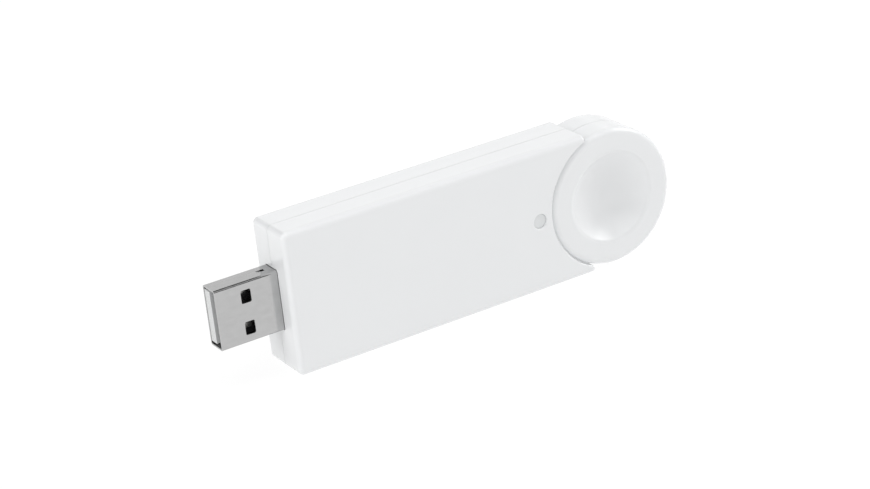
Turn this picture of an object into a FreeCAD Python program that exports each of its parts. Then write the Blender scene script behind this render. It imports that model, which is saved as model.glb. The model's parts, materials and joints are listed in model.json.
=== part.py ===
"""A USB radio adapter: a white two-shell stick with a plug at one end and a dished round head at the other.

Millimetres. The stick stands on its long narrow side: X runs from the plug to the head, Y from the front
face to the rear face, and Z up across the width. Y 0 is the seam between the two covers and Z 0 the surface
the stick stands on. Every shape is built with X measured from the plug end of the housing, and save() moves
it along X so that the origin is the centre of the outer box's floor.
"""

import FreeCAD, Part
import math
import os

Vector = FreeCAD.Vector

# ---- Housing ----
BODY_LENGTH = 66.3        # plug end to the tips of the two horns that reach round the head
BODY_WIDTH = 28.6
BODY_THICKNESS = 12.2
BODY_EDGE = 1.15          # radius of the outer edges
WALL = 1.6
SEAM_GAP = 0.08           # hairline between the covers
CAVITY_LENGTH = 59.0      # inside of the body, from the plug end; the horns past it are solid
LIP_INSET = 0.85          # rear cover's locating lip, from the outer wall
LIP_HEIGHT = 0.8
LIP_CLEARANCE = 0.06

# ---- Head ----
HEAD_X = 71.65            # centre of the round head, from the plug end
HEAD_RADIUS = 13.85
HEAD_THICKNESS = 11.7
HEAD_EDGE = 1.1
DISH_RADIUS = 9.15        # finger dish, one on each face
DISH_DEPTH = 3.3
DISH_LIP = 1.1
DISH_WALL = 1.4

# ---- Shadow groove between body and head, one on each face ----
GROOVE_WIDTH = 0.25
GROOVE_DEPTH = 0.9
GROOVE_EDGE = 0.28
GROOVE_BACKING = 1.4      # wall left behind the groove
HORN_EDGE = 0.3           # radius round the horns' ends
WEB_SETBACK = 1.0         # the web under the groove stops short of the horn tips

# ---- Plug, a standard series A one ----
PLUG_EXPOSED = 13.0
PLUG_WIDTH = 12.0
PLUG_HEIGHT = 4.5
PLUG_SHELL_LENGTH = 18.75
PLUG_EDGE = 0.42
PLUG_OFFSET_Y = 0.3       # plug centre, towards the rear of the seam
SHEET = 0.3
WINDOW_FROM_TIP = 5.15
WINDOW_LENGTH = 2.05
WINDOW_WIDTH = 2.6
WINDOW_OFFSET = 3.13      # window centre from the plug's centre line
WINDOW_CORNER = 0.3
LANCE_FROM_TIP = 9.85
LANCE_LENGTH = 1.6
LANCE_WIDTH = 0.8
LANCE_ANGLE = 14.0
SHELL_SEAM = 0.08
WING_REACH = 1.6
WING_X = (2.6, 5.0)
TONGUE_SETBACK = 0.1
TONGUE_WIDTH = 10.4
TONGUE_SPLIT = 4.2        # from the tip, where its white end meets the black carrier
INSULATOR_BLOCK_X = -1.25
INSULATOR_END = 5.5
INSULATOR_PLAY = 0.02
CONTACT_WIDTH = 1.0
CONTACT_THICKNESS = 0.25
CONTACT_TAIL_X = 8.4
CONTACTS = {              # offset from the centre line, and start behind the shell's tip
    "contact_power": (-3.5, 1.9),
    "contact_data_minus": (-1.0, 2.9),
    "contact_data_plus": (1.0, 2.9),
    "contact_ground": (3.5, 1.9),
}

# ---- Circuit board ----
BOARD_FRONT = 0.5         # Y of its front surface
BOARD_THICKNESS = 1.0
BOARD_X = (2.2, 57.5)
BOARD_WIDTH = 23.8
NECK_END = 66.0           # the narrow end that carries the antenna into the head
NECK_WIDTH = 13.0
COPPER = 0.05
POST_RADIUS = 1.9
PIN_RADIUS = 1.0
POSTS = [(8.0, -9.6), (8.0, 9.6), (50.0, -9.6), (50.0, 9.6)]   # X, offset from the centre line
SOCKET_DEPTH = 2.0

# ---- Status light ----
LIGHT_X = 54.8
LIGHT_HOLE = 1.45
LIGHT_EDGE = 0.35         # radius of the hole's outer edge
LIGHT_GUIDE = 1.4
LIGHT_RECESS = 0.5
LIGHT_BOSS = 2.6
LIGHT_FLANGE = 2.3
LIGHT_FLANGE_Y = (-3.1, -2.5)

# ---- Rating label on the rear face ----
LABEL_X = (15.0, 50.0)
LABEL_WIDTH = 19.0
LABEL_RECESS = 0.2
LABEL_THICKNESS = 0.14
LABEL_MARGIN = 0.2
LABEL_CORNER = 1.2

# ---- Worked out from the above ----
HALF = BODY_THICKNESS / 2
HEAD_HALF = HEAD_THICKNESS / 2
MID_Z = BODY_WIDTH / 2
INNER = HALF - WALL
GROOVE_FLOOR = HALF - GROOVE_DEPTH
GROOVE_RADIUS = HEAD_RADIUS + GROOVE_WIDTH
DISH_SPHERE = (DISH_RADIUS**2 + DISH_DEPTH**2) / (2 * DISH_DEPTH)
BOARD_REAR = BOARD_FRONT + BOARD_THICKNESS
PAD_TOP = BOARD_FRONT - COPPER
PLUG_TIP = -PLUG_EXPOSED
PLUG_END = PLUG_TIP + PLUG_SHELL_LENGTH
PLUG_Y = (PLUG_OFFSET_Y - PLUG_HEIGHT / 2, PLUG_OFFSET_Y + PLUG_HEIGHT / 2)
OUTER_LENGTH = PLUG_EXPOSED + HEAD_X + HEAD_RADIUS
FRAME_SHIFT = PLUG_EXPOSED - OUTER_LENGTH / 2


# ---- Shape helpers ----
def block(x, y, z):
    """A box between a low and a high value on each axis."""
    return Part.makeBox(x[1] - x[0], y[1] - y[0], z[1] - z[0], Vector(x[0], y[0], z[0]))


def across(width, centre=0.0):
    """Low and high Z of a width centred on the stick's centre line, or beside it."""
    return (MID_Z + centre - width / 2, MID_Z + centre + width / 2)


def rod(radius, y, x, z=MID_Z):
    """A cylinder along Y."""
    return Part.makeCylinder(radius, y[1] - y[0], Vector(x, y[0], z), Vector(0, 1, 0))


def round_edges(shape, direction, radius):
    """Rounds the straight edges that run along one axis."""
    def runs_along(edge):
        return isinstance(edge.Curve, Part.Line) and abs(edge.tangentAt(edge.FirstParameter).dot(direction)) > 0.999
    return shape.makeFillet(radius, [e for e in shape.Edges if runs_along(e)])


def circles(shape, radius):
    """The circular edges of one radius."""
    def is_one(edge):
        curve = None if edge.Degenerated else edge.Curve
        return isinstance(curve, Part.Circle) and abs(curve.Radius - radius) < 1e-4
    return [e for e in shape.Edges if is_one(e)]


def turned_about_head(edges):
    """A solid of revolution about the head's axis, from profile edges drawn in the plane Z = MID_Z."""
    face = Part.Face(Part.Wire(edges))
    return face.revolve(Vector(HEAD_X, 0, MID_Z), Vector(0, 1, 0), 360)


def chip(x, offset, size, base=PAD_TOP, side=-1):
    """A box (length, width, height) standing on the board, on its front (side -1) or rear (side 1)."""
    length, width, height = size
    top = base + side * height
    return block((x - length / 2, x + length / 2), (min(base, top), max(base, top)), across(width, offset))


def gathered(shapes):
    """Several separate solids as one shape."""
    return Part.makeCompound(shapes)


# ---- Housing ----
def head_clearance():
    """What the head's circle takes out of the body, flared so that the arc's edges come out rounded."""
    def at(radius, y):
        return Vector(HEAD_X + radius, y, MID_Z)
    slant = GROOVE_EDGE * (1 - math.sqrt(0.5))
    flare = GROOVE_RADIUS + GROOVE_EDGE
    past = HALF + 1
    front = Part.Arc(
        at(flare, -HALF), at(GROOVE_RADIUS + slant, -HALF + slant), at(GROOVE_RADIUS, -HALF + GROOVE_EDGE)
    )
    rear = Part.Arc(
        at(GROOVE_RADIUS, HALF - GROOVE_EDGE), at(GROOVE_RADIUS + slant, HALF - slant), at(flare, HALF)
    )
    return turned_about_head([
        Part.makeLine(at(0, -past), at(flare, -past)),
        Part.makeLine(at(flare, -past), at(flare, -HALF)),
        front.toShape(),
        Part.makeLine(at(GROOVE_RADIUS, -HALF + GROOVE_EDGE), at(GROOVE_RADIUS, HALF - GROOVE_EDGE)),
        rear.toShape(),
        Part.makeLine(at(flare, HALF), at(flare, past)),
        Part.makeLine(at(flare, past), at(0, past)),
        Part.makeLine(at(0, past), at(0, -past)),
    ])


def edges_at(shape, x):
    """The edges that lie wholly in one plane across X."""
    return [e for e in shape.Edges if max(abs(e.BoundBox.XMin - x), abs(e.BoundBox.XMax - x)) < 1e-3]


def body_slab():
    longer = block((0, BODY_LENGTH + 5), (-HALF, HALF), (0, BODY_WIDTH))
    longer = longer.makeFillet(BODY_EDGE, longer.Edges)
    slab = longer.cut(block((BODY_LENGTH, BODY_LENGTH + 6), (-HALF - 1, HALF + 1), (-1, BODY_WIDTH + 1)))
    slab = slab.makeFillet(HORN_EDGE, edges_at(slab, BODY_LENGTH))
    slab = slab.cut(rod(LIGHT_HOLE, (-HALF - 1, -HALF + 1), LIGHT_X))
    rim = [e for e in circles(slab, LIGHT_HOLE) if e.CenterOfMass.y < 0.01 - HALF]
    return slab.makeFillet(LIGHT_EDGE, rim).cut(head_clearance())


def dish_balls(extra=0.0):
    """The spheres whose caps are the two finger dishes, optionally grown by a wall thickness."""
    centre_y = HEAD_HALF - DISH_DEPTH + DISH_SPHERE
    return [Part.makeSphere(DISH_SPHERE + extra, Vector(HEAD_X, y, MID_Z)) for y in (-centre_y, centre_y)]


def head_disc():
    disc = rod(HEAD_RADIUS, (-HEAD_HALF, HEAD_HALF), HEAD_X)
    disc = disc.makeFillet(HEAD_EDGE, circles(disc, HEAD_RADIUS))
    disc = disc.cut(dish_balls())
    return disc.makeFillet(DISH_LIP, circles(disc, DISH_RADIUS))


def groove_web():
    """Joins body and head behind the two shadow grooves, and keeps clear of the dishes."""
    depth = (-GROOVE_FLOOR, GROOVE_FLOOR)
    web = rod(GROOVE_RADIUS + 0.6, depth, HEAD_X)
    web = web.common(block((0, BODY_LENGTH - WEB_SETBACK), depth, (0, BODY_WIDTH)))
    return web.cut(dish_balls(DISH_WALL / 2))


def inside_outline(inset, y):
    """The housing's outline drawn in by an inset, between two depths. At the horns it stops early."""
    body = block((inset, CAVITY_LENGTH + WALL - inset), y, (inset, BODY_WIDTH - inset))
    return body.fuse(rod(HEAD_RADIUS - inset, y, HEAD_X))


def cavity():
    body = block((WALL, CAVITY_LENGTH), (-INNER, INNER), (WALL, BODY_WIDTH - WALL))
    head_inner = HEAD_HALF - WALL
    room = body.fuse(rod(HEAD_RADIUS - WALL, (-head_inner, head_inner), HEAD_X))
    for face in (-1, 1):
        backing = sorted((face * (GROOVE_FLOOR + 0.1), face * (GROOVE_FLOOR - GROOVE_BACKING)))
        ring = rod(GROOVE_RADIUS + 0.7, backing, HEAD_X).cut(rod(HEAD_RADIUS - 1.2, backing, HEAD_X))
        room = room.cut(ring)
    return room.cut(dish_balls(DISH_WALL))


def plug_opening():
    play = 0.12
    opening = block(
        (-1, WALL + 0.4), (PLUG_Y[0] - play, PLUG_Y[1] + play), across(PLUG_WIDTH + 2 * play)
    )
    return round_edges(opening, Vector(1, 0, 0), PLUG_EDGE + play)


def hollow_housing():
    outer = body_slab().fuse([head_disc(), groove_web()])
    return outer.cut([cavity(), plug_opening()])


def plug_rib(y):
    """A rib that grips the plug's shell just inside the end wall."""
    rib = block((2.7, 3.7), y, across(PLUG_WIDTH + 4))
    return rib.cut(block((2, 4), (PLUG_Y[0] - 0.03, PLUG_Y[1] + 0.03), across(PLUG_WIDTH + 0.1)))


def front_cover(housing):
    side = block((-1, 90), (-HALF - 1, -SEAM_GAP / 2), (-1, BODY_WIDTH + 1))
    cover = housing.common(side)
    cover = cover.cut(inside_outline(LIP_INSET - LIP_CLEARANCE, (-LIP_HEIGHT - LIP_CLEARANCE, 0)))
    boss = rod(LIGHT_BOSS, (-INNER, LIGHT_FLANGE_Y[0]), LIGHT_X)
    posts = [rod(POST_RADIUS, (-INNER, BOARD_FRONT), x, MID_Z + z) for x, z in POSTS]
    pins = [rod(PIN_RADIUS, (BOARD_FRONT - 1, BOARD_REAR + SOCKET_DEPTH - 0.2), x, MID_Z + z) for x, z in POSTS]
    rib = plug_rib((-INNER, -LIP_HEIGHT - 0.3))
    cover = cover.fuse([boss, rib] + posts + pins).removeSplitter()
    return cover.cut(rod(LIGHT_HOLE, (-HALF + 0.5, 0), LIGHT_X))


def rear_cover(housing):
    side = block((-1, 90), (SEAM_GAP / 2, HALF + 1), (-1, BODY_WIDTH + 1))
    cover = housing.common(side)
    lip_y = (-LIP_HEIGHT, 1.0)
    lip = inside_outline(LIP_INSET, lip_y).cut([inside_outline(WALL, lip_y), plug_opening()])
    posts = [rod(POST_RADIUS, (BOARD_REAR, INNER), x, MID_Z + z) for x, z in POSTS]
    rib = block((2.7, 3.7), (PLUG_Y[1] + 0.03, INNER), across(PLUG_WIDTH - 3))
    cover = cover.fuse([lip, rib] + posts).removeSplitter()
    sockets = [rod(PIN_RADIUS + 0.01, (BOARD_REAR - 1, BOARD_REAR + SOCKET_DEPTH), x, MID_Z + z) for x, z in POSTS]
    return cover.cut(sockets + [label_outline(0.0, LABEL_RECESS, 1.0)])


def label_outline(margin, depth, height):
    """A round-cornered plate in the rear face, starting at a depth below it."""
    y = (HALF - depth, HALF - depth + height)
    plate = block((LABEL_X[0] + margin, LABEL_X[1] - margin), y, across(LABEL_WIDTH - 2 * margin))
    return round_edges(plate, Vector(0, 1, 0), LABEL_CORNER)


def light_guide():
    """A stepped clear rod from the light on the board to just below the front face."""
    stem = rod(LIGHT_GUIDE, (-HALF + LIGHT_RECESS, LIGHT_FLANGE_Y[0]), LIGHT_X)
    flange = rod(LIGHT_FLANGE, LIGHT_FLANGE_Y, LIGHT_X)
    foot = rod(LIGHT_GUIDE - 0.2, (LIGHT_FLANGE_Y[1], -0.55), LIGHT_X)
    return stem.fuse([flange, foot]).removeSplitter()


# ---- Plug ----
def plug_shell():
    """Folded steel sleeve with four windows, two side lances, a seam in its rear side and two board wings."""
    outer = block((PLUG_TIP, PLUG_END), PLUG_Y, across(PLUG_WIDTH))
    outer = round_edges(outer, Vector(1, 0, 0), PLUG_EDGE)
    inner_y = (PLUG_Y[0] + SHEET, PLUG_Y[1] - SHEET)
    inner = block((PLUG_TIP - 1, PLUG_END + 1), inner_y, across(PLUG_WIDTH - 2 * SHEET))
    inner = round_edges(inner, Vector(1, 0, 0), PLUG_EDGE - SHEET)
    cuts = [inner]
    window_x = (PLUG_TIP + WINDOW_FROM_TIP, PLUG_TIP + WINDOW_FROM_TIP + WINDOW_LENGTH)
    for offset in (-WINDOW_OFFSET, WINDOW_OFFSET):
        window = block(window_x, (PLUG_Y[0] - 1, PLUG_Y[1] + 1), across(WINDOW_WIDTH, offset))
        cuts.append(round_edges(window, Vector(0, 1, 0), WINDOW_CORNER))
    lance_y = (PLUG_OFFSET_Y - LANCE_WIDTH / 2, PLUG_OFFSET_Y + LANCE_WIDTH / 2)
    lance_x = (PLUG_TIP + LANCE_FROM_TIP, PLUG_TIP + LANCE_FROM_TIP + LANCE_LENGTH)
    cuts.append(block(lance_x, lance_y, across(PLUG_WIDTH + 1)))
    cuts.append(block((PLUG_TIP - 1, PLUG_END + 1), (PLUG_OFFSET_Y, PLUG_Y[1] + 1), across(SHELL_SEAM)))
    shell = outer.cut(cuts)
    wing_z = across(PLUG_WIDTH + 2 * WING_REACH)
    wings = block(WING_X, (PAD_TOP - SHEET, PAD_TOP), wing_z)
    wings = wings.cut(block(WING_X, (PAD_TOP - 1, PAD_TOP + 1), across(PLUG_WIDTH - SHEET)))
    return shell.fuse([wings] + side_lances(lance_x, lance_y)).removeSplitter()


def side_lances(x, y):
    """The tongues pressed in from the shell's two narrow sides, hinged at their tip end."""
    lances = []
    for side in (-1, 1):
        outside = MID_Z + side * PLUG_WIDTH / 2
        z = sorted((outside, outside - side * SHEET))
        tongue = block((x[0] - 0.05, x[1] - 0.08), (y[0] + 0.08, y[1] - 0.08), z)
        tongue.rotate(Vector(x[0], 0, outside - side * SHEET), Vector(0, 1, 0), side * LANCE_ANGLE)
        lances.append(tongue)
    return lances


def contact(offset, start):
    """One flat blade from the tongue, through the block, to its pad on the board."""
    y = (PAD_TOP - CONTACT_THICKNESS, PAD_TOP)
    return block((PLUG_TIP + start, CONTACT_TAIL_X), y, across(CONTACT_WIDTH, offset))


def tongue(start, end):
    """A length of the tongue along the rear half of the sleeve, between two distances behind the tip."""
    rear = PLUG_Y[1] - SHEET - INSULATOR_PLAY
    face = PAD_TOP - CONTACT_THICKNESS + COPPER
    return block((PLUG_TIP + start, PLUG_TIP + end), (face, rear), across(TONGUE_WIDTH))


def plug_insulator(contacts):
    """The white end of the tongue, at the mouth of the sleeve."""
    return tongue(TONGUE_SETBACK, TONGUE_SPLIT).cut(contacts)


def contact_carrier(contacts):
    """Black moulding: the rest of the tongue, and a block that fills the sleeve's inner end."""
    rear = PLUG_Y[1] - SHEET - INSULATOR_PLAY
    front = PLUG_Y[0] + SHEET + INSULATOR_PLAY
    width = PLUG_WIDTH - 2 * (SHEET + INSULATOR_PLAY)
    end = block((INSULATOR_BLOCK_X, INSULATOR_END), (front, rear), across(width))
    end = round_edges(end, Vector(1, 0, 0), PLUG_EDGE - SHEET)
    stem = tongue(TONGUE_SPLIT, INSULATOR_BLOCK_X - PLUG_TIP)
    return stem.fuse(end).removeSplitter().cut(contacts)


def contact_solder(contacts):
    """Solder at the tail of each contact and round each wing of the shell."""
    joints = []
    for offset, start in contacts:
        joints.append(ramp(CONTACT_TAIL_X, 0.6, 0.22, across(CONTACT_WIDTH, offset)))
    for side in (-1, 1):
        edge = MID_Z + side * (PLUG_WIDTH / 2 + WING_REACH)
        z = sorted((edge, edge + side * 0.5))
        joints.append(block((WING_X[0] + 0.2, WING_X[1] - 0.2), (PAD_TOP - 0.2, PAD_TOP), z))
    return gathered(joints)


def ramp(x, length, height, z):
    """A wedge on the board that falls away along X."""
    corners = [
        Vector(x, PAD_TOP, z[0]),
        Vector(x, PAD_TOP - height, z[0]),
        Vector(x + length, PAD_TOP, z[0]),
    ]
    face = Part.Face(Part.makePolygon(corners + corners[:1]))
    return face.extrude(Vector(0, 0, z[1] - z[0]))


# ---- Circuit board and what is on it ----
SHIELD_X = 36.0
SHIELD_SIZE = (16.0, 13.0)
SHIELD_HEIGHT = 2.0
SHIELD_SHEET = 0.2
RADIO_SIZE = (6.0, 6.0, 0.85)
FLASH_AT = (20.0, -6.5)
FLASH_SIZE = (4.9, 3.9, 1.5)
REGULATOR_AT = (14.0, 7.0)
REGULATOR_SIZE = (2.9, 1.6, 1.1)
ESD_AT = (12.2, 0.0)
ESD_SIZE = (2.9, 1.3, 1.0)
ANTENNA_X = 61.5
ANTENNA_SPAN = 11.0
ANTENNA_HEIGHT = 2.3
LED_SIZE = (2.0, 1.25)
CAPACITORS = [(11.5, 4.2), (17.5, 7.0), (17.5, 9.2), (25.0, -6.5), (25.0, 7.0), (32.0, 5.0), (40.0, -4.8)]
RESISTORS = [(16.0, 1.2), (16.0, -1.2), (23.5, 2.0), (23.5, 4.2), (52.0, 2.4), (46.5, -4.0)]
CHIP_PART = (1.6, 0.8)
END_CAP = 0.3
TEST_PADS = [(28.0 + 2.2 * i, -9.9) for i in range(6)]


def leads(at, size, per_side, pitch, width):
    """Bent leads on the two long sides of a small chip."""
    out = []
    for side in (-1, 1):
        for i in range(per_side):
            x = at[0] + (i - (per_side - 1) / 2) * pitch
            z = at[1] + side * (size[1] / 2)
            foot = chip(x, z + side * 0.75, (width, 0.6, 0.15))
            shin = chip(x, z + side * 0.45, (width, 0.15, size[2] / 2))
            knee = chip(x, z + side * 0.2, (width, 0.4, 0.15), PAD_TOP - size[2] / 2)
            out.append(foot.fuse([shin, knee]).removeSplitter())
    return gathered(out)


def circuit_board():
    board = block(BOARD_X, (BOARD_FRONT, BOARD_REAR), across(BOARD_WIDTH))
    neck = block((BOARD_X[1] - 1, NECK_END), (BOARD_FRONT, BOARD_REAR), across(NECK_WIDTH))
    board = round_edges(board, Vector(0, 1, 0), 1.0).fuse(neck).removeSplitter()
    notch = block((0, PLUG_END + 0.2), (BOARD_FRONT - 1, BOARD_REAR + 1), across(PLUG_WIDTH + 0.3))
    holes = [rod(PIN_RADIUS + 0.1, (BOARD_FRONT - 1, BOARD_REAR + 1), x, MID_Z + z) for x, z in POSTS]
    return board.cut([notch] + holes)


def board_copper():
    """Raised copper pads on the front of the board."""
    def pad(x, offset, length, width):
        return chip(x, offset, (length, width, COPPER), BOARD_FRONT)
    pads = [pad(7.6, offset, 3.0, 1.3) for offset, start in CONTACTS.values()]
    wing_middle = sum(WING_X) / 2
    pads += [pad(wing_middle, side * (PLUG_WIDTH / 2 + 1.3), 2.2, 2.0) for side in (-1, 1)]
    pads += [pad(x, z, 1.2, 1.2) for x, z in TEST_PADS]
    for x, z in CAPACITORS + RESISTORS:
        pads += [pad(x + end * 0.8, z, 0.7, 1.0) for end in (-1, 1)]
    pads.append(pad(SHIELD_X, 0, 4.5, 4.5))
    return gathered(pads)


def end_caps(places, height):
    """The plated ends of small two-ended parts."""
    caps = []
    for x, z in places:
        for end in (-1, 1):
            caps.append(chip(x + end * (CHIP_PART[0] + END_CAP) / 2, z, (END_CAP, CHIP_PART[1], height)))
    return gathered(caps)


def two_ended(places, height):
    return gathered([chip(x, z, (*CHIP_PART, height)) for x, z in places])


def shield_frame():
    length, width = SHIELD_SIZE
    outer = chip(SHIELD_X, 0, (length, width, SHIELD_HEIGHT))
    inner = chip(SHIELD_X, 0, (length - 2 * SHIELD_SHEET, width - 2 * SHIELD_SHEET, SHIELD_HEIGHT + 1))
    top = chip(SHIELD_X, 0, (length, width, SHIELD_SHEET), PAD_TOP - SHIELD_HEIGHT + SHIELD_SHEET)
    top = top.cut(chip(SHIELD_X, 0, (length - 3, width - 3, SHIELD_HEIGHT + 1)))
    return outer.cut(inner).fuse(top).removeSplitter()


def shield_lid():
    length, width = SHIELD_SIZE
    gap = 0.02
    skirt = 1.2
    roof = PAD_TOP - SHIELD_HEIGHT
    grown = 2 * (SHIELD_SHEET + gap)
    lid = block(
        (SHIELD_X - (length + grown) / 2, SHIELD_X + (length + grown) / 2),
        (roof - SHIELD_SHEET, roof + skirt),
        across(width + grown),
    )
    inside = block(
        (SHIELD_X - length / 2 - gap, SHIELD_X + length / 2 + gap),
        (roof, roof + skirt + 1),
        across(width + 2 * gap),
    )
    holes = [
        rod(0.5, (roof - 1, roof), SHIELD_X + dx, MID_Z + dz) for dx in (-6, 0, 6) for dz in (-4.5, 4.5)
    ]
    return lid.cut([inside] + holes)


def thermal_pad():
    top = PAD_TOP - RADIO_SIZE[2]
    return block((SHIELD_X - 2.5, SHIELD_X + 2.5), (PAD_TOP - SHIELD_HEIGHT, top), across(5.0))


def antenna():
    """A stamped inverted-F strip that stands on two feet on the board's neck."""
    sheet = 0.3
    width = 1.6
    top = PAD_TOP - ANTENNA_HEIGHT
    x = (ANTENNA_X - width / 2, ANTENNA_X + width / 2)
    arm = block(x, (top, top + sheet), across(ANTENNA_SPAN))
    pieces = []
    for offset in (-ANTENNA_SPAN / 2 + sheet / 2, -ANTENNA_SPAN / 2 + 3.2):
        pieces.append(block(x, (top, PAD_TOP), across(sheet, offset)))
        pieces.append(block(x, (PAD_TOP - sheet, PAD_TOP), across(1.0, offset + 0.5 - sheet / 2)))
    return arm.fuse(pieces).removeSplitter()


def rf_test_socket():
    """A miniature coaxial socket: a base, an outer ring and a centre pin."""
    at = (48.5, 4.5)
    base = chip(*at, (2.6, 2.6, 0.4))
    ring = rod(1.0, (PAD_TOP - 1.25, PAD_TOP - 0.4), at[0], MID_Z + at[1])
    ring = ring.cut(rod(0.75, (PAD_TOP - 2, PAD_TOP - 0.4), at[0], MID_Z + at[1]))
    pin = rod(0.2, (PAD_TOP - 1.1, PAD_TOP - 0.4), at[0], MID_Z + at[1])
    return base.fuse([ring, pin]).removeSplitter()


def regulator_choke():
    """A drum-core choke on a square base."""
    at = (14.5, -5.2)
    base = chip(*at, (4.0, 4.0, 0.6))
    waist = rod(1.3, (PAD_TOP - 1.6, PAD_TOP - 0.6), at[0], MID_Z + at[1])
    flange = rod(1.9, (PAD_TOP - 2.1, PAD_TOP - 1.6), at[0], MID_Z + at[1])
    return base.fuse([waist, flange]).removeSplitter()


def choke_winding():
    at = (14.5, -5.2)
    coil = rod(1.75, (PAD_TOP - 1.6, PAD_TOP - 0.6), at[0], MID_Z + at[1])
    return coil.cut(rod(1.3, (PAD_TOP - 2, PAD_TOP), at[0], MID_Z + at[1]))


def save(name, shape):
    shape = shape.copy()
    shape.translate(Vector(FRAME_SHIFT, 0, 0))
    shape.exportStep(f"parts/{name}.step")


def main():
    os.makedirs("parts", exist_ok=True)
    housing = hollow_housing()
    save("front_cover", front_cover(housing))
    save("rear_cover", rear_cover(housing))
    save("light_guide", light_guide())
    save("rating_label", label_outline(LABEL_MARGIN, LABEL_RECESS, LABEL_THICKNESS))

    contacts = {name: contact(*place) for name, place in CONTACTS.items()}
    for name, blade in contacts.items():
        save(name, blade)
    save("plug_shell", plug_shell())
    save("plug_insulator", plug_insulator(list(contacts.values())))
    save("contact_carrier", contact_carrier(list(contacts.values())))
    save("plug_solder_joints", contact_solder(CONTACTS.values()))

    save("circuit_board", circuit_board())
    save("board_copper_pads", board_copper())
    save("radio_chip", chip(SHIELD_X, 0, RADIO_SIZE))
    save("radio_thermal_pad", thermal_pad())
    save("shield_frame", shield_frame())
    save("shield_lid", shield_lid())
    save("reference_crystal", chip(SHIELD_X + 5.0, 3.0, (2.5, 3.2, 0.7)))
    save("flash_memory_chip", chip(*FLASH_AT, FLASH_SIZE, PAD_TOP - 0.1))
    save("flash_memory_leads", leads(FLASH_AT, FLASH_SIZE, 4, 1.27, 0.4))
    save("voltage_regulator", chip(*REGULATOR_AT, REGULATOR_SIZE, PAD_TOP - 0.1))
    save("voltage_regulator_leads", leads(REGULATOR_AT, REGULATOR_SIZE, 3, 0.95, 0.4))
    save("surge_protector", chip(*ESD_AT, ESD_SIZE, PAD_TOP - 0.1))
    save("surge_protector_leads", leads(ESD_AT, ESD_SIZE, 2, 1.9, 0.45))
    save("regulator_choke", regulator_choke())
    save("choke_winding", choke_winding())
    save("bulk_capacitor", chip(21.0, 7.2, (3.5, 2.8, 1.9)))
    save("ceramic_capacitors", two_ended(CAPACITORS, 0.8))
    save("capacitor_end_caps", end_caps(CAPACITORS, 0.8))
    save("chip_resistors", two_ended(RESISTORS, 0.45))
    save("resistor_end_caps", end_caps(RESISTORS, 0.45))
    save("rf_test_socket", rf_test_socket())
    save("antenna", antenna())
    save("status_led_base", chip(LIGHT_X, 0, (*LED_SIZE, 0.3)))
    save("status_led_lens", chip(LIGHT_X, 0, (LED_SIZE[0] - 0.4, LED_SIZE[1], 0.5), PAD_TOP - 0.3))


main()
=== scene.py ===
"""Looks and studio for the USB radio adapter.

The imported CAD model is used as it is. This script gives every part its material, and adds the floor,
the lights and the camera. Lengths are in metres.
"""

import json
import math

import bpy
from mathutils import Matrix, Vector

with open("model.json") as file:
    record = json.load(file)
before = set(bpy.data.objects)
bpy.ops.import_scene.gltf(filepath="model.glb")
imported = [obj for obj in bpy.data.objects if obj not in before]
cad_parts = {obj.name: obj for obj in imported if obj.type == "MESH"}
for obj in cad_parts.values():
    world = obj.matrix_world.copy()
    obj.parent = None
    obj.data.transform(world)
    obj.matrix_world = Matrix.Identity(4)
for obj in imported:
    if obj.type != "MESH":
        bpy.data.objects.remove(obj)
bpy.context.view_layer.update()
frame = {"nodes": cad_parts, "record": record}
nodes = frame["nodes"]

# ---- Camera ----
CAMERA_AT = Vector((-0.2170, -0.3839, 0.2020))
CAMERA_LOOK = (0.44982, 0.80215, -0.39272)
CAMERA_UP = (0.28831, 0.28575, 0.91390)
CAMERA_LENS = 104.27   # millimetres, on a sensor of the width below
SENSOR_WIDTH = 36.0
NEAR_CLIP = 0.01


# ---- Surface detail: noise scales in cells per metre, relief in metres ----
NOISE_LOW = 0.3           # noise value that gives the first colour of a ramp
NOISE_HIGH = 0.7
MOULD_TONE = 120
MOULD_GLOSS = 400
MOULD_GLOSS_SPAN = 0.025  # roughness either side of the middle
MOULD_BUMP = 0.15
MOULD_RELIEF = 0.00001
METAL_TONE = 900
METAL_GLOSS = 1500
METAL_GRAIN = 3000
METAL_SMOOTHEST = 0.05
METAL_SMOOTHER = 0.05     # how far the roughness falls below the middle, and rises above it
METAL_ROUGHER = 0.07
METAL_BUMP = 0.2
METAL_RELIEF = 0.000004


# ---- Node helpers ----
def add_node(tree, kind, inputs=None):
    node = tree.nodes.new(kind)
    for key, value in (inputs or {}).items():
        node.inputs[key].default_value = value
    return node


def new_material(name):
    material = bpy.data.materials.new(name)
    material.use_nodes = True
    tree = material.node_tree
    return material, tree, tree.nodes["Principled BSDF"]


def ramp_between(tree, source, low, high):
    """A colour that follows a noise from low to high."""
    ramp = add_node(tree, "ShaderNodeValToRGB")
    first, last = ramp.color_ramp.elements
    first.position, first.color = NOISE_LOW, low
    last.position, last.color = NOISE_HIGH, high
    tree.links.new(source, ramp.inputs["Fac"])
    return ramp.outputs["Color"]


def bump_from(tree, source, strength, distance):
    bump = add_node(tree, "ShaderNodeBump", {"Strength": strength, "Distance": distance})
    tree.links.new(source, bump.inputs["Height"])
    return bump.outputs["Normal"]


def object_noise(tree, scale, detail=4.0, stretch=(1, 1, 1)):
    """A noise that sticks to the object. The scale is in cells per metre."""
    coords = add_node(tree, "ShaderNodeTexCoord")
    mapping = add_node(tree, "ShaderNodeMapping", {"Scale": stretch})
    noise = add_node(tree, "ShaderNodeTexNoise", {"Scale": scale, "Detail": detail})
    tree.links.new(coords.outputs["Object"], mapping.inputs["Vector"])
    tree.links.new(mapping.outputs["Vector"], noise.inputs["Vector"])
    return noise.outputs["Fac"]


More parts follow.
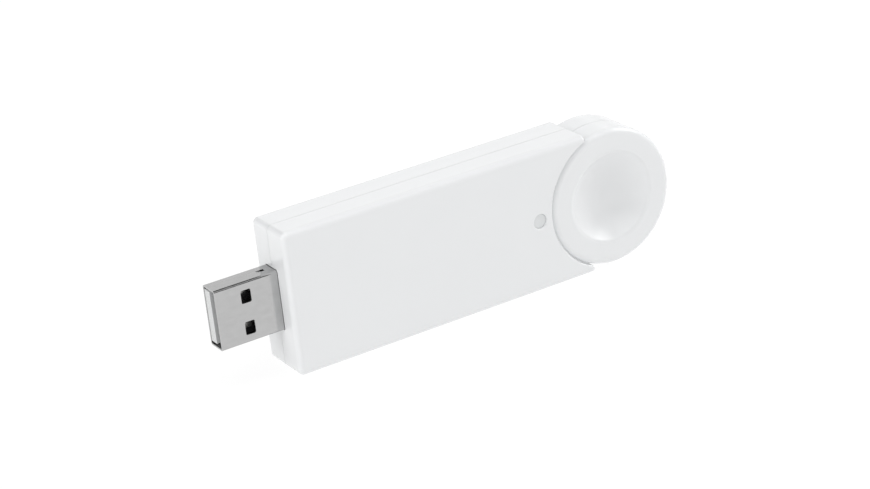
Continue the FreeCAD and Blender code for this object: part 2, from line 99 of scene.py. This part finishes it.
def vary_tone(tree, bsdf, noise, colour, vary):
    low = tuple(c * (1 - vary) for c in colour) + (1,)
    high = tuple(min(1, c * (1 + vary)) for c in colour) + (1,)
    tree.links.new(ramp_between(tree, noise, low, high), bsdf.inputs["Base Color"])


def vary_gloss(tree, bsdf, noise, smoothest, roughest):
    ends = [(roughness, roughness, roughness, 1) for roughness in (smoothest, roughest)]
    tree.links.new(ramp_between(tree, noise, *ends), bsdf.inputs["Roughness"])


def moulded(name, colour, roughness, grain=9000, vary=0.02):
    """Moulded plastic: slight colour and gloss variation and a fine surface grain."""
    material, tree, bsdf = new_material(name)
    vary_tone(tree, bsdf, object_noise(tree, MOULD_TONE), colour, vary)
    smoothest, roughest = roughness - MOULD_GLOSS_SPAN, roughness + MOULD_GLOSS_SPAN
    vary_gloss(tree, bsdf, object_noise(tree, MOULD_GLOSS), smoothest, roughest)
    normal = bump_from(tree, object_noise(tree, grain, 2), MOULD_BUMP, MOULD_RELIEF)
    tree.links.new(normal, bsdf.inputs["Normal"])
    return material


def metal(name, colour, roughness, streak=(1, 1, 1), vary=0.06):
    """Plated sheet: fine rolled streaks in tone, gloss and relief."""
    material, tree, bsdf = new_material(name)
    bsdf.inputs["Metallic"].default_value = 1.0
    vary_tone(tree, bsdf, object_noise(tree, METAL_TONE, 6, streak), colour, vary)
    smoothest = max(METAL_SMOOTHEST, roughness - METAL_SMOOTHER)
    vary_gloss(tree, bsdf, object_noise(tree, METAL_GLOSS, 5, streak), smoothest, roughness + METAL_ROUGHER)
    normal = bump_from(tree, object_noise(tree, METAL_GRAIN, 3, streak), METAL_BUMP, METAL_RELIEF)
    tree.links.new(normal, bsdf.inputs["Normal"])
    return material


# ---- Materials, one for each slot of the record ----
materials = {
    "white_plastic": moulded("white_plastic", (0.843, 0.853, 0.861), 0.235, vary=0.004),
    "light_lens": moulded("light_lens", (0.8, 0.815, 0.82), 0.25, vary=0.01),
    "label": moulded("label", (0.78, 0.79, 0.79), 0.4, vary=0.01),
    "plug_steel": metal("plug_steel", (0.485, 0.485, 0.485), 0.14, streak=(0.5, 1, 1), vary=0.03),
    "plug_insulator_white": moulded("plug_insulator_white", (0.67, 0.68, 0.68), 0.5),
    # Painted shade: the carrier behind the plug's windows is made near-black to stand in for the shade
    # inside the steel shell. The insulator itself shows white at the plug's tip.
    "carrier_black": moulded("carrier_black", (0.02, 0.02, 0.022), 0.5, vary=0.1),
    "nickel_contact": metal("nickel_contact", (0.55, 0.55, 0.54), 0.3),
    "board": moulded("board", (0.03, 0.16, 0.06), 0.35, grain=3000, vary=0.15),
    "copper_pad": metal("copper_pad", (0.8, 0.6, 0.35), 0.35),
    "solder": metal("solder", (0.66, 0.67, 0.69), 0.35),
    "chip_black": moulded("chip_black", (0.035, 0.035, 0.038), 0.55, vary=0.15),
    "tinplate": metal("tinplate", (0.68, 0.69, 0.70), 0.3),
    "thermal_gum": moulded("thermal_gum", (0.42, 0.47, 0.56), 0.8, vary=0.05),
    "ceramic_tan": moulded("ceramic_tan", (0.5, 0.37, 0.24), 0.6, vary=0.1),
    "tantalum_yellow": moulded("tantalum_yellow", (0.78, 0.5, 0.1), 0.5, vary=0.05),
    "ferrite": moulded("ferrite", (0.09, 0.09, 0.095), 0.7, vary=0.15),
    "copper_wire": metal("copper_wire", (0.72, 0.34, 0.16), 0.35),
    "led_lens": moulded("led_lens", (0.8, 0.82, 0.6), 0.2, vary=0.02),
}
for part in frame["record"]["subparts"]:
    mesh = nodes[part["node"]].data
    mesh.materials.clear()
    mesh.materials.append(materials[part["material_slot"]])
    mesh.polygons.foreach_set("material_index", [0] * len(mesh.polygons))


# ---- Studio ----
WORLD_STRENGTH = 0.05
FLOOR_GLOW = 0.88
FLOOR_SHADE = 0.15
FLOOR_ROUGHNESS = 0.8
FLOOR_REACH = 3.0
LIGHT_TARGET = Vector((0, 0, 0.012))
LIGHT_DISTANCE = 1.0
# Name, azimuth and elevation in degrees, width and height in metres, brightness.
# Azimuth 0 is the head's end, 180 the plug's end and 270 the front.
SOFTBOXES = (
    ("right", 0, 31, 0.8, 0.46, 2.2),
    ("right_low", 0, 9, 0.8, 0.31, 0.7),
    ("right_near", 350, 30, 0.5, 0.46, 1.4),
    ("right_near_low", 345, 9, 0.4, 0.31, 0.75),
    ("front_right", 335, 30, 0.5, 0.46, 3.1),
    ("front", 270, 31, 0.7, 0.46, 0.85),
    ("front_high", 270, 57, 1.0, 0.42, 0.65),
    ("front_left", 225, 31, 0.8, 0.46, 0.8),
    ("front_left_low", 225, 9, 0.8, 0.31, 0.8),
    ("left", 180, 31, 0.8, 0.46, 2.8),
    ("left_high", 180, 57, 1.0, 0.42, 1.8),
    ("overhead", 0, 90, 0.6, 0.6, 1.3),
    ("front_top", 240, 75, 0.35, 0.35, 1.1),
    ("rear_right", 55, 28, 0.8, 0.46, 0.87),
    ("rear_right_low", 50, 9, 0.8, 0.31, 0.8),
    ("rear_low", 100, 9, 0.8, 0.31, 0.5),
)


def softbox(name, azimuth, elevation, width, height, brightness):
    turn, tilt = math.radians(azimuth), math.radians(elevation)
    away = Vector((math.cos(turn) * math.cos(tilt), math.sin(turn) * math.cos(tilt), math.sin(tilt)))
    light = bpy.data.lights.new(name, "AREA")
    light.shape = "RECTANGLE"
    light.size, light.size_y = width, height
    light.energy = brightness * math.pi * width * height
    lamp = bpy.data.objects.new(name, light)
    bpy.context.scene.collection.objects.link(lamp)
    place = Matrix.Translation(LIGHT_TARGET + away * LIGHT_DISTANCE)
    lamp.matrix_world = place @ away.to_track_quat("Z", "Y").to_matrix().to_4x4()


def floor_sheet():
    """A pale, softly glowing table top, which takes only a faint shadow."""
    mesh = bpy.data.meshes.new("floor")
    r = FLOOR_REACH
    mesh.from_pydata([(-r, -r, 0), (r, -r, 0), (r, r, 0), (-r, r, 0)], [], [(0, 1, 2, 3)])
    floor = bpy.data.objects.new("floor", mesh)
    bpy.context.scene.collection.objects.link(floor)
    material, tree, bsdf = new_material("floor")
    bsdf.inputs["Base Color"].default_value = (FLOOR_SHADE, FLOOR_SHADE, FLOOR_SHADE, 1)
    bsdf.inputs["Roughness"].default_value = FLOOR_ROUGHNESS
    bsdf.inputs["Specular IOR Level"].default_value = 0.0
    bsdf.inputs["Emission Color"].default_value = (1, 1, 1, 1)
    bsdf.inputs["Emission Strength"].default_value = FLOOR_GLOW
    material.cycles.emission_sampling = "NONE"
    mesh.materials.append(material)


def studio():
    world = bpy.data.worlds.new("studio")
    world.use_nodes = True
    world.node_tree.nodes["Background"].inputs["Color"].default_value = (1, 1, 1, 1)
    world.node_tree.nodes["Background"].inputs["Strength"].default_value = WORLD_STRENGTH
    bpy.context.scene.world = world
    floor_sheet()
    for box in SOFTBOXES:
        softbox(*box)


# ---- Camera ----
def camera():
    data = bpy.data.cameras.new("camera")
    data.lens = CAMERA_LENS
    data.sensor_width = SENSOR_WIDTH
    data.clip_start = NEAR_CLIP
    eye = bpy.data.objects.new("camera", data)
    bpy.context.scene.collection.objects.link(eye)
    back = -Vector(CAMERA_LOOK).normalized()
    right = Vector(CAMERA_UP).cross(back).normalized()
    up = back.cross(right)
    turn = Matrix((right, up, back)).transposed().to_4x4()
    eye.matrix_world = Matrix.Translation(CAMERA_AT) @ turn
    bpy.context.scene.camera = eye


studio()
camera()
bpy.context.scene.view_settings.view_transform = "Standard"
